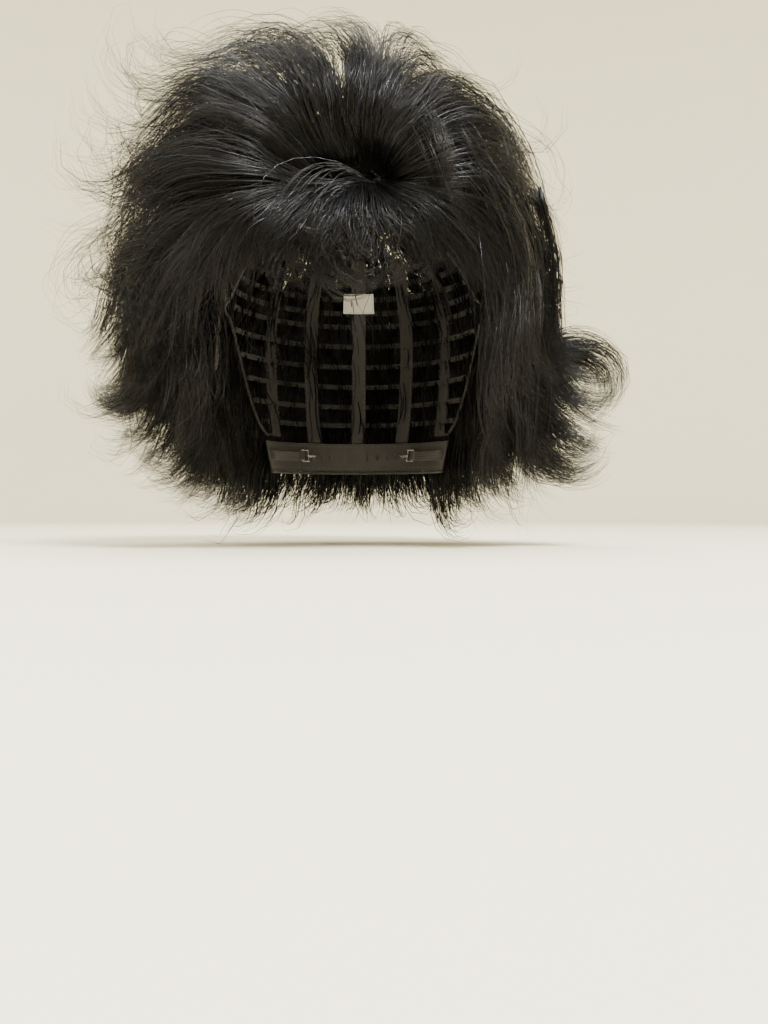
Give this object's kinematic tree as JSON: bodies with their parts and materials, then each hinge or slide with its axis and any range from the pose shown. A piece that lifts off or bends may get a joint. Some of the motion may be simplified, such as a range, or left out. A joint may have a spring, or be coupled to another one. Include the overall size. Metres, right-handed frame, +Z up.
{
  "type": "costume wig",
  "caption": "Short curly costume wig: a wefted net cap with ear tabs and nape adjusters, under full teased hair.",
  "frame": {"origin": "centre of the head's widest girth inside the cap, where the cap sits on a head", "axes": "+Z up through the crown, -Y out of the face, +X to the wearer's left"},
  "size_m": [0.3125, 0.2516, 0.2758],
  "materials": {
    "hair": "satin",
    "cap_lace": "matte",
    "ribbon": "matte",
    "weft_seam": "matte",
    "felt": "matte",
    "binding": "matte",
    "label": "satin",
    "ear_tab": "matte",
    "stay_steel": "satin",
    "elastic": "matte",
    "thread": "matte",
    "hook_steel": "gloss"
  },
  "bodies": {
    "cap": {"back_left_hair": "hair", "back_right_hair": "hair", "crown_hair": "hair", "crown_net": "cap_lace", "crown_patch": "felt", "crown_weft_1": "weft_seam", "crown_weft_2": "weft_seam", "crown_weft_3": "weft_seam", "edge_binding": "binding", "fringe_hair": "hair", "fringe_weft": "weft_seam", "front_comfort_strip": "felt", "front_hair": "hair", "front_lace_band": "cap_lace", "front_weft": "weft_seam", "left_adjuster_elastic": "elastic", "left_flick_hair": "hair", "left_side_hair": "hair", "left_temple_hair": "hair", "left_thread_loops": "thread", "lower_back_left_hair": "hair", "lower_back_right_hair": "hair", "nape_band": "cap_lace", "nape_elastic": "binding", "nape_hair": "hair", "ribbon_back_left": "ribbon", "ribbon_back_right": "ribbon", "ribbon_centre_back": "ribbon", "ribbon_mid_left": "ribbon", "ribbon_mid_right": "ribbon", "ribbon_side_left": "ribbon", "ribbon_side_right": "ribbon", "right_adjuster_elastic": "elastic", "right_flick_hair": "hair", "right_side_hair": "hair", "right_temple_hair": "hair", "right_thread_loops": "thread", "size_label": "label", "weft_01": "weft_seam", "weft_02": "weft_seam", "weft_03": "weft_seam", "weft_04": "weft_seam", "weft_05": "weft_seam", "weft_06": "weft_seam", "weft_07": "weft_seam", "weft_08": "weft_seam", "weft_09": "weft_seam", "weft_10": "weft_seam"},
    "left_ear_tab": {"left_ear_tab": "ear_tab", "left_tab_stay": "stay_steel"},
    "right_ear_tab": {"right_ear_tab": "ear_tab", "right_tab_stay": "stay_steel"},
    "left_strap_eye": {"left_strap_eye": "elastic"},
    "right_strap_eye": {"right_strap_eye": "elastic"},
    "left_hook": {"left_hook": "hook_steel"},
    "right_hook": {"right_hook": "hook_steel"}
  },
  "joints": [
    {"name": "left_ear_tab_flex", "type": "hinge", "parent": "cap", "child": "left_ear_tab", "pos_m": [0.07334, -0.03108, 0.00639], "axis": [0.2536, 0.9673, 0], "range_deg": [-7, 25]},
    {"name": "left_adjuster_travel", "type": "hinge", "parent": "cap", "child": "left_strap_eye", "pos_m": [0, 0.022, -0.069], "axis": [0, 0, 1], "range_deg": [0, 24], "stiffness_Nm_per_rad": 0.4, "deforming": ["left_adjuster_elastic", "left_thread_loops"]},
    {"name": "left_hook_swing", "type": "hinge", "parent": "left_strap_eye", "child": "left_hook", "pos_m": [0.0349, 0.06626, -0.06828], "axis": [0.1085, 0.1879, 0.9762], "range_deg": [0, 75], "deforming": ["left_thread_loops"]},
    {"name": "right_ear_tab_flex", "type": "hinge", "parent": "cap", "child": "right_ear_tab", "pos_m": [-0.07334, -0.03108, 0.00639], "axis": [0.2536, -0.9673, 0], "range_deg": [-7, 25]},
    {"name": "right_adjuster_travel", "type": "hinge", "parent": "cap", "child": "right_strap_eye", "pos_m": [0, 0.022, -0.069], "axis": [0, 0, -1], "range_deg": [0, 24], "stiffness_Nm_per_rad": 0.4, "deforming": ["right_adjuster_elastic", "right_thread_loops"]},
    {"name": "right_hook_swing", "type": "hinge", "parent": "right_strap_eye", "child": "right_hook", "pos_m": [-0.0349, 0.06626, -0.06828], "axis": [0.1085, -0.1879, -0.9762], "range_deg": [0, 75], "deforming": ["right_thread_loops"]}
  ]
}
